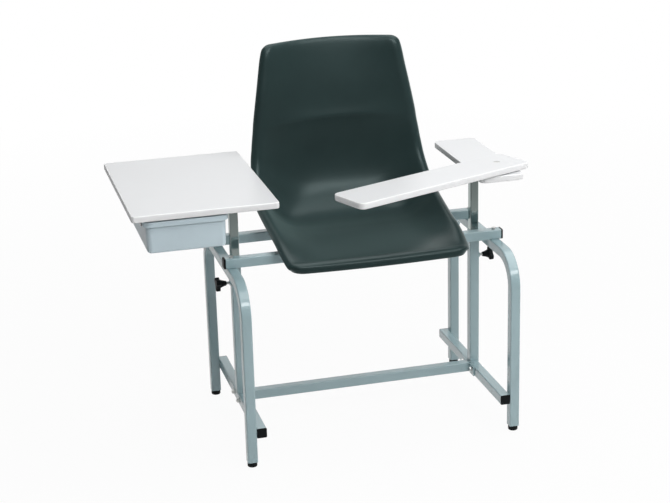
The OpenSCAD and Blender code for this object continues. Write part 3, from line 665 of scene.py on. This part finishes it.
def side_roll(crest, t, sign, width, drop, steps=9):
    """The sheet outside a crest: a quarter ellipse, out by its width and away by its drop. The
    direction away turns from straight back at the front lip to square to the sheet farther on."""
    none = np.zeros_like(t)
    step = np.gradient(crest, t, axis=0)
    square = unit(np.stack([none, step[:, 2], -step[:, 1]], -1))
    angle = np.pi / 2 * smooth_step(t / FRONT_END)
    straight = np.stack([none, np.cos(angle), -np.sin(angle)], -1)
    settled = smooth_step((t - 3) / 3)[:, None]
    away = unit(straight * (1 - settled) + square * settled)
    phi = np.linspace(0, np.pi / 2, steps + 1)[1:]
    roll = crest[:, None] + (drop * (1 - np.cos(phi)))[..., None] * away[:, None]
    roll[..., 0] += sign * width * np.sin(phi)
    return roll


def seat_sheet(t, cols=60):
    """The seat's upper skin as a grid of points.

    Along: the place t runs through the stations. Across: the share a runs from the left crest
    to the right one. A point lies between the middle line and the crest line by the square of
    how far a is past the flat part. At the front the roll is a third wider and the lip bows out
    and down by one less the square of x over 0.2. The whole seat stands 1 mm to the right, and
    its front up to 4.5 mm.
    """
    mid_y, mid_z, crest_y, crest_z, width, flat, drop = through(STATIONS, t).T[..., None]
    t_col = t[:, None]
    a = np.sin(np.linspace(-1, 1, cols) * 1.25) / np.sin(1.25)
    front = 1 - smooth_step(t_col / FRONT_END)
    roll_w = ROLL_W * (1 + FRONT_WIDER * front)
    x = a * (width * SEAT_W / 2 - roll_w)
    back_mid = middle_line(t_col, x, mid_y)
    g = np.clip((np.abs(a) - flat) / (1 - flat), 0, 1) ** 2
    y = SEAT_D * (back_mid + (crest_y - back_mid) * g) - SEAT_FRONT
    z = SEAT_RISE * (mid_z + (crest_z - mid_z) * g) + PAN_Z
    bow = front * (1 - (x / BOW_HALF) ** 2)
    skin = np.stack([x, y - BOW_OUT * bow, z - BOW_DOWN * bow], -1)
    left = side_roll(skin[:, 0], t, -1, roll_w, drop * RIM_DROP)
    right = side_roll(skin[:, -1], t, 1, roll_w, drop * RIM_DROP)
    grid = np.concatenate([left[:, ::-1], skin, right], axis=1)
    for _ in range(6):
        grid[:, 1:-1] = (grid[:, :-2] + 2 * grid[:, 1:-1] + grid[:, 2:]) / 4
    grid[..., 0] += SHIFT - SHIFT_LOST * smooth_step(t_col / SHIFT_END)
    return grid


sheet = seat_sheet(station_places())
print("seat's skin from", sheet.min((0, 1)).round(3), "to", sheet.max((0, 1)).round(3))

# %% [markdown]
# A sheet without thickness would look like paper at its rim. The Solidify modifier could give
# it a wall, but its edge would be square. Closed rings round the sheet give every edge a half
# circle, as the mould does.

# %% Make the seat
def half_circle(middle, up, out, angles):
    """Points round an edge: the middle plus sine times up plus cosine times out."""
    return np.stack([middle + up * np.sin(b) + out * np.cos(b) for b in angles], 1)


def thick_sheet(grid, thickness, steps=4):
    """Closed rings round a sheet: over the skin, round one edge, back underneath, round the other.

    The underside is the skin moved by the thickness against its normal, which is the cross
    product of the grid's two steps. Every edge is a half circle about the middle of the
    thickness.
    """
    normal = unit(np.cross(np.gradient(grid, axis=1), np.gradient(grid, axis=0)))
    across, r = unit(np.gradient(grid, axis=1)), thickness / 2
    middle = grid - normal * thickness / 2
    round_edge = np.linspace(np.pi / 2, -np.pi / 2, steps + 2)[1:-1]

    def ring(scale, push):
        """One layer of rings, with the thickness scaled and the whole pushed along the sheet."""
        up, out, centre = normal * r * scale, across * r * scale, middle + push
        right_edge = half_circle(centre[:, -1], up[:, -1], out[:, -1], round_edge)
        left_edge = half_circle(centre[:, 0], up[:, 0], -out[:, 0], round_edge[::-1])
        return np.concatenate([centre + up, right_edge, (centre - up)[:, ::-1], left_edge], axis=1)

    forward, beyond = unit(grid[0] - grid[1])[None], unit(grid[-1] - grid[-2])[None]
    turns = np.radians([75, 50, 25])
    front = [ring(np.cos(v), forward * r * np.sin(v))[:1] for v in turns]
    rear = [ring(np.cos(v), beyond * r * np.sin(v))[-1:] for v in turns[::-1]]
    return np.concatenate(front + [ring(1.0, 0.0)] + rear)


build("moulded_seat", capped([thick_sheet(sheet, SEAT_T)]), charcoal, "frame",
      "shell_plastic", ["seat_shell"], sharp=80)

# %% [markdown]
# ## Spacers under the seat
# Four round spacers stand between the crossbars and the seat. The seat's underside rises
# towards the back, so each spacer's top follows it, and the rear pair is the taller one. A
# plain cylinder would leave a gap on one side.

# %% Spacers
BOSS_X, BOSS_R, BOSS_EASE, BOSS_SUNK = 0.110, 0.013, 0.0004, 0.0003
boss_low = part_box("seat_bosses")[0].z
line = through(STATIONS, np.linspace(4, 16, 200))[:, :2]
under_y, under_z = SEAT_D * line[:, 0] - SEAT_FRONT, SEAT_RISE * line[:, 1] + PAN_Z - SEAT_T
blank = carry(round_outline(BOSS_R), [(BOSS_EASE, 0), (0, BOSS_EASE), (0, 0.001)])
spacers = [place(blank, (x, y, boss_low)) for x in (-BOSS_X, BOSS_X) for y in BARS_Y]
for spacer in spacers:
    spacer[2, :, 2] = np.interp(spacer[2, :, 1], under_y, under_z) + BOSS_SUNK
build("seat_spacers", capped(spacers), *BLACK, ["seat_bosses"])

# %% [markdown]
# ## Board edging
# Boards of this kind are cut from laminated panel and get a plastic edge that is pressed on.
# It stands flush with both faces and is rounded over at its top and bottom. The profile goes
# from the bottom face over the outside to the top face and back down inside. It is carried round
# the board's own outline, so that every corner keeps its radius.

# %% Edging of the tray and the arm base
BOARD_T, BAND_T, OVER_H, SWELL = 0.0155, 0.002, 0.0026, 0.0001
TRAY_W, TRAY_D, TRAY_R, TRAY_TOP = 0.354, 0.494, 0.008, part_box("tray_board")[1].z
ARM_W, ARM_L, ARM_R, ARM_TOP = 0.1144, 0.376, 0.016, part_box("arm_base_board")[1].z


def edging_round(width, depth, radius):
    """A band round a board whose lower face is at 0: a rounded strip, one board thick."""
    profile = arc(BAND_T, OVER_H, BAND_T, OVER_H, -90, 0) + [(-SWELL, BOARD_T / 2)]
    profile += arc(BAND_T, BOARD_T - OVER_H, BAND_T, OVER_H, 0, 90)
    return carry(rounded_outline(width, depth, radius, 9), profile)


tray_middle = (middle_of("tray_edge_band")[0], 0, TRAY_TOP - BOARD_T)
band = place(edging_round(TRAY_W, TRAY_D, TRAY_R), tray_middle)
build("tray_edging", [(band, "loop")], edging, "tray_support", "edging", ["tray_edge_band"])
base_middle = (*middle_of("arm_base_edge_band"), ARM_TOP - BOARD_T)
band = place(edging_round(ARM_W, ARM_L, ARM_R), base_middle)
build("arm_base_edging", [(band, "loop")], edging, "arm_support", "edging",
      ["arm_base_edge_band"])

# %% Edging of the swivel blade
BLADE_L, BLADE_TAIL, BLADE_GAP, BLADE_TURN = 0.536, 0.062, 0.002, math.radians(22.2)
PIVOT_OUT, PIVOT_IN = 0.0075, 0.067
pivot = np.array([RAIL_X + PIVOT_OUT, base_middle[1] - ARM_L / 2 + PIVOT_IN, ARM_TOP + BLADE_GAP])
blade_x = np.array([math.cos(BLADE_TURN), math.sin(BLADE_TURN), 0])
blade_y = np.array([-math.sin(BLADE_TURN), math.cos(BLADE_TURN), 0])
blade_middle = pivot + blade_x * (BLADE_TAIL - BLADE_L / 2)
band = place(edging_round(BLADE_L, ARM_W, ARM_R), blade_middle, blade_x, blade_y)
build("blade_edging", [(band, "loop")], edging, "swivel_blade", "edging", ["arm_blade_edge_band"])
print("blade middle:", blade_middle.round(4))

# %% [markdown]
# ## The drawer
# The drawer is a vacuum-formed tub: thin walls that lean out towards the top, so that it comes
# off its mould, wide roundings at the bottom, and a rim turned down all round, which slides
# on the runners. The profile starts under the floor, goes up the outside, out and down the
# back of the rim, over its top and down the inside. One profile for the whole wall keeps its
# thickness even, which two boxes cut from each other would not.

# %% Drawer tub
low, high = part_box("drawer_bin")
tub_w, tub_d, tub_top, tub_low = high.x - low.x, high.y - low.y, high.z, low.z
TUB_CORNER, TUB_WALL, LEAN, FILLET, FLOOR_IN = 0.0195, 0.0025, 0.0016, 0.007, 0.002
RIM_W, RIM_H, RIM_R = 0.006, 0.013, 0.003
under_rim, rim_low = tub_top - TUB_WALL, tub_top - RIM_H
outer, inner, wall_in = RIM_W + LEAN + FILLET, RIM_W + TUB_WALL + LEAN, RIM_W + TUB_WALL
tub_profile = [(outer + FLOOR_IN, tub_low)]
tub_profile += arc(outer, tub_low + FILLET, FILLET, FILLET, -90, 0, 7)
tub_profile += [(RIM_W, under_rim - 0.001), (RIM_W - 0.001, under_rim), (TUB_WALL, under_rim)]
tub_profile += [(TUB_WALL - 0.0002, rim_low + 0.0005), (0.0012, rim_low), (0, rim_low + 0.0010)]
tub_profile += arc(RIM_R, tub_top - RIM_R, RIM_R, RIM_R, 0, 90)
tub_profile += [(wall_in - 0.0025, tub_top), (wall_in - 0.0008, tub_top - 0.0008),
                (wall_in, tub_top - 0.003)]
tub_profile += arc(inner + FILLET, tub_low + TUB_WALL + FILLET, FILLET, FILLET, 0, -90, 7)
tub_profile += [(inner + FILLET + FLOOR_IN, tub_low + TUB_WALL)]
tub_outline = rounded_outline(tub_w, tub_d, TUB_CORNER, 11)
tub_grid = place(carry(tub_outline, tub_profile), (*middle_of("drawer_bin"), 0))
build("drawer_tub", capped([tub_grid]), tub_plastic, "drawer", "bin_plastic", ["drawer_bin"])

# %% [markdown]
# ## Clamp knobs
# Each column is held by a three-lobed knob on a threaded stud. Three cylinders and a middle one
# could be joined, but one outline does it: its radius swings between the lobes and the hollows.
# The profile closes over the face, and a tapering collar runs to the stud. The stud's thread is
# a surface too: its radius rises and falls along the stud, and a full turn round it counts as
# one pitch along it.

# %% Knobs
KNOB_Z, KNOB_R, KNOB_L, STUD_BARE = 0.404, 0.020, 0.028, 0.012
HUB_R, LOBE_R, HEAD_R, BACK_R = 0.0118, 0.0075, 0.0030, 0.0015
COLLAR_L, COLLAR_R, COLLAR_NECK, STUD_HOLE = KNOB_L * 0.59, 0.0115, 0.0058, 0.0043
HEAD_L, KNOB_X = KNOB_L - COLLAR_L, RAIL_X + HALF + STUD_BARE


def lobed_outline(middle_r, lobe_r, reach, sides=120):
    """Three round lobes about a round middle: at each angle, the farthest of the four circles."""
    a = np.arange(sides) * 2 * np.pi / sides
    away = reach - lobe_r
    turn = (a + np.pi / 3) % (2 * np.pi / 3) - np.pi / 3
    inside = np.clip(lobe_r ** 2 - (away * np.sin(turn)) ** 2, 0, None)
    hit = np.abs(away * np.sin(turn)) < lobe_r
    r = np.maximum(np.where(hit, away * np.cos(turn) + np.sqrt(inside), 0), middle_r)
    for _ in range(3):
        r = (np.roll(r, 1) + 2 * r + np.roll(r, -1)) / 4
    ring = np.c_[np.cos(a), np.sin(a)]
    return r[:, None] * ring, ring


def knob_parts(sign):
    """The lobed head and its collar on a stud along X, from the stud's bare part outwards. The
    collar's radius grows from its neck by three quarters of the way and a quarter of its cube."""
    axes = dict(x=(0, 0, sign), y=(0, 1, 0), z=(sign, 0, 0))
    head_profile = [(0.006, 0)] + arc(BACK_R, BACK_R, BACK_R, BACK_R, -90, 0)[1:]
    head_profile += arc(HEAD_R, HEAD_L - HEAD_R, HEAD_R, HEAD_R, 0, 80) + [(0.009, HEAD_L)]
    head = carry(lobed_outline(HUB_R, LOBE_R, KNOB_R), head_profile)
    s = np.linspace(0, 1, 9)
    radius = COLLAR_NECK + (COLLAR_R - COLLAR_NECK) * (0.75 * s + 0.25 * s ** 3)
    heights = 0.0006 + s * (COLLAR_L + 0.0004)
    collar = carry(round_outline(COLLAR_R),
                   [(COLLAR_R - STUD_HOLE, 0), *zip(COLLAR_R - radius, heights)])
    return capped([place(head, (sign * (KNOB_X + COLLAR_L), 0, KNOB_Z), **axes),
                   place(collar, (sign * KNOB_X, 0, KNOB_Z), **axes)])


print("knob's head and collar in mm:", round(1000 * HEAD_L, 2), round(1000 * COLLAR_L, 2))

# %% Knobs on their studs
STUD_R, PITCH_L, RIDGE, STUD_IN = 0.004, 0.00125, 0.00045, 0.004


def thread(start, end, sign, sides=24):
    """A stud along X. Its radius is the bolt's less a ridge: a zigzag of the length over the
    pitch less the angle over a full turn."""
    a = np.arange(sides) * 2 * np.pi / sides
    s = np.arange(start, end, PITCH_L / 6)[:, None]
    wave = np.abs(((s / PITCH_L - a / (2 * np.pi)) % 1) * 2 - 1)
    r = STUD_R - RIDGE * wave
    along_x = np.broadcast_to(s, r.shape) * sign
    return np.stack([along_x, r * np.cos(a), KNOB_Z + r * np.sin(a)], -1)


for side, sign in (("left", -1), ("right", 1)):
    build(side + "_lobed_knob", knob_parts(sign), nylon, side + "_knob", "black_plastic",
          [side + "_clamp_knob"], sharp=50)
    low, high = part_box(side + "_knob_stud")
    stud = thread(min(abs(low.x), abs(high.x)), KNOB_X + STUD_IN, sign)
    build(side + "_threaded_stud", capped([stud]), zinc, side + "_knob", "zinc",
          [side + "_knob_stud"], sharp=80)

# %% [markdown]
# ## The CAD parts that stay
# The boards' cores, plates, screws, nuts and runners already have the right shape, so they only
# get a finish. Finer copies would hardly show, since most of them are small or under a board.
# The record says which slot each belongs to.

# %% Finish what stays
FINISH = {"frame_paint": enamel, "black_plastic": nylon, "zinc": zinc, "chrome": chrome,
          "shell_plastic": charcoal, "laminate": laminate, "edging": edging,
          "bin_plastic": tub_plastic}
slot_of = {row["node"]: row["material_slot"] for row in frame["record"]["subparts"]}
for name, node in frame["nodes"].items():
    node.data.materials.clear()
    node.data.materials.append(FINISH[slot_of[name]])
print("CAD nodes shown:", sum(not n.hide_render for n in frame["nodes"].values()))

# %% [markdown]
# ## The room round the chair
# The photograph is a plain studio picture on white. More light would bleach the chair itself,
# so the floor and the world are simply white to the camera. The paint and the chrome mirror a
# white room that is darker in front and on the left, as a real studio is where the camera
# stands. For every other ray the floor is plain pale paper and the world is nearly dark.

# %% Helpers of the room
DARK_ROOM, DARK_LEFT = 0.22, 0.48


def math_node(tree, operation, first, second):
    """A Math node's result for two values, such as the larger one or the product."""
    node = tree.nodes.new("ShaderNodeMath")
    node.operation = operation
    tree.links.new(first, node.inputs[0])
    tree.links.new(second, node.inputs[1])
    return node.outputs["Value"]


def room_shade(tree, spot, along_y, along_x):
    """How bright the mirrored room is at a spot: a smooth step along Y times one along X."""
    parts = tree.nodes.new("ShaderNodeSeparateXYZ")
    tree.links.new(spot, parts.inputs["Vector"])
    behind = mapped(tree, parts.outputs["Y"], (*along_y, DARK_ROOM, 1), smooth=True)
    beside = mapped(tree, parts.outputs["X"], (*along_x, DARK_LEFT, 1), smooth=True)
    return math_node(tree, "MULTIPLY", behind, beside)


def ray_kinds(tree):
    """Whether a ray comes from the camera, and whether from a mirror or through glass."""
    ray = tree.nodes.new("ShaderNodeLightPath")
    mirrored = math_node(tree, "MAXIMUM", ray.outputs["Is Glossy Ray"],
                         ray.outputs["Is Transmission Ray"])
    return ray.outputs["Is Camera Ray"], mirrored


def mix_out(tree, share, first, second, kind):
    """The tree's output shows the second shader by a share, and the first by the rest."""
    blend = tree.nodes.new("ShaderNodeMixShader")
    tree.links.new(share, blend.inputs["Fac"])
    tree.links.new(first, blend.inputs[1])
    tree.links.new(second, blend.inputs[2])
    tree.links.new(blend.outputs["Shader"], tree.nodes.new(kind).inputs["Surface"])


print("darkest share of the mirrored room:", round(DARK_ROOM * DARK_LEFT, 3))

# %% [markdown]
# The floor is a wide sheet of paper. Near the chair the camera sees a little of its real
# surface, which keeps a soft shadow under the feet. That share fades with the distance from the
# middle, so there is no edge where the floor turns white.

# %% Floor
FLOOR_HALF, FLOOR_LOW, PAPER = 15, 0.0005, 0.72
SHADOW_TO, WHITE_FROM, WHITE_NEAR = 0.9, 3.5, 0.95
floor_mesh = bpy.data.meshes.new("studio_floor")
corners = [(x * FLOOR_HALF, y * FLOOR_HALF, 0) for x, y in ((-1, -1), (1, -1), (1, 1), (-1, 1))]
floor_mesh.from_pydata(corners, [], [(0, 1, 2, 3)])
floor = bpy.data.objects.new("studio_floor", floor_mesh)
floor.location.z = -FLOOR_LOW
bpy.context.scene.collection.objects.link(floor)

paper = bpy.data.materials.new("white_paper")
paper.use_nodes = True
tree = paper.node_tree
tree.nodes.clear()
plain = tree.nodes.new("ShaderNodeBsdfDiffuse")
plain.inputs["Color"].default_value = (PAPER, PAPER, PAPER, 1)
glow = tree.nodes.new("ShaderNodeEmission")
glow.inputs["Color"].default_value = (1, 1, 1, 1)
spot = tree.nodes.new("ShaderNodeTexCoord").outputs["Object"]
distance = tree.nodes.new("ShaderNodeVectorMath")
distance.operation = "LENGTH"
tree.links.new(spot, distance.inputs[0])
white_share = mapped(tree, distance.outputs["Value"], (SHADOW_TO, WHITE_FROM, WHITE_NEAR, 1))
eye, mirrored = ray_kinds(tree)
shade = room_shade(tree, spot, along_y=(-2.6, -0.2), along_x=(-1.3, 0.3))
tree.links.new(math_node(tree, "MAXIMUM", eye, shade), glow.inputs["Strength"])
by_eye = math_node(tree, "MULTIPLY", eye, white_share)
mix_out(tree, math_node(tree, "MAXIMUM", by_eye, mirrored), plain.outputs["BSDF"],
        glow.outputs["Emission"], "ShaderNodeOutputMaterial")
floor.data.materials.append(paper)
print("floor's nodes:", len(tree.nodes))

# %% [markdown]
# The world's brightness depends on the direction of a ray, which the Generated coordinates give.
# A picture of a real studio could be wrapped round the chair, but two smooth steps from dark to
# white are enough for what the paint and the chrome reflect.

# %% World
WORLD_LIGHT = 0.04
world = bpy.data.worlds.new("white_sky")
world.use_nodes = True
bpy.context.scene.world = world
tree = world.node_tree
tree.nodes.clear()
lit = tree.nodes.new("ShaderNodeBackground")
lit.inputs["Color"].default_value = (1, 1, 1, 1)
lit.inputs["Strength"].default_value = WORLD_LIGHT
shown = tree.nodes.new("ShaderNodeBackground")
shown.inputs["Color"].default_value = (1, 1, 1, 1)
heading = tree.nodes.new("ShaderNodeTexCoord").outputs["Generated"]
eye, mirrored = ray_kinds(tree)
shade = room_shade(tree, heading, along_y=(-0.4, 0.7), along_x=(-0.6, 0.1))
tree.links.new(math_node(tree, "MAXIMUM", eye, shade), shown.inputs["Strength"])
mix_out(tree, math_node(tree, "MAXIMUM", eye, mirrored), lit.outputs["Background"],
        shown.outputs["Background"], "ShaderNodeOutputWorld")
print("world's nodes:", len(tree.nodes))

# %% [markdown]
# The lamps are a wide, flat soft box in front, above the camera, and a large one overhead, which
# make the soft glow where the seat turns up, and two fills, from the right and from behind. A
# fill's reflection would put a hard white shape on the chrome, so the fills show in no mirror.

# %% Lamps
def area_light(name, place_at, aim, width, height, watts):
    """A soft box of a width and height at a place, which looks at a point."""
    data = bpy.data.lights.new(name, "AREA")
    data.shape, data.size, data.size_y, data.energy = "RECTANGLE", width, height, watts
    lamp = bpy.data.objects.new(name, data)
    lamp.location = place_at
    lamp.rotation_mode = "QUATERNION"
    lamp.rotation_quaternion = (Vector(aim) - Vector(place_at)).to_track_quat("-Z", "Y")
    bpy.context.scene.collection.objects.link(lamp)
    return lamp


SEAT_MIDDLE = (0, 0, 0.6)
area_light("front_box", (0.6, -3.15, 2.75), SEAT_MIDDLE, 2.8, 0.75, 60)
area_light("top_box", (0.45, -0.35, 3.2), (0.45, -0.35, 0), 3.2, 3.9, 90)
for name, place_at, watts in (("right_box", (3.4, -1.2, 2.4), 32),
                              ("back_box", (-0.6, 3.6, 1.7), 17)):
    area_light(name, place_at, SEAT_MIDDLE, 3.0, 3.0, watts).visible_glossy = False
bpy.context.scene.view_settings.view_transform = "Standard"

# %% [markdown]
# ## Check the size and finish
# Blender brings the places of all pieces up to date.

# %% Update the scene
bpy.context.view_layer.update()
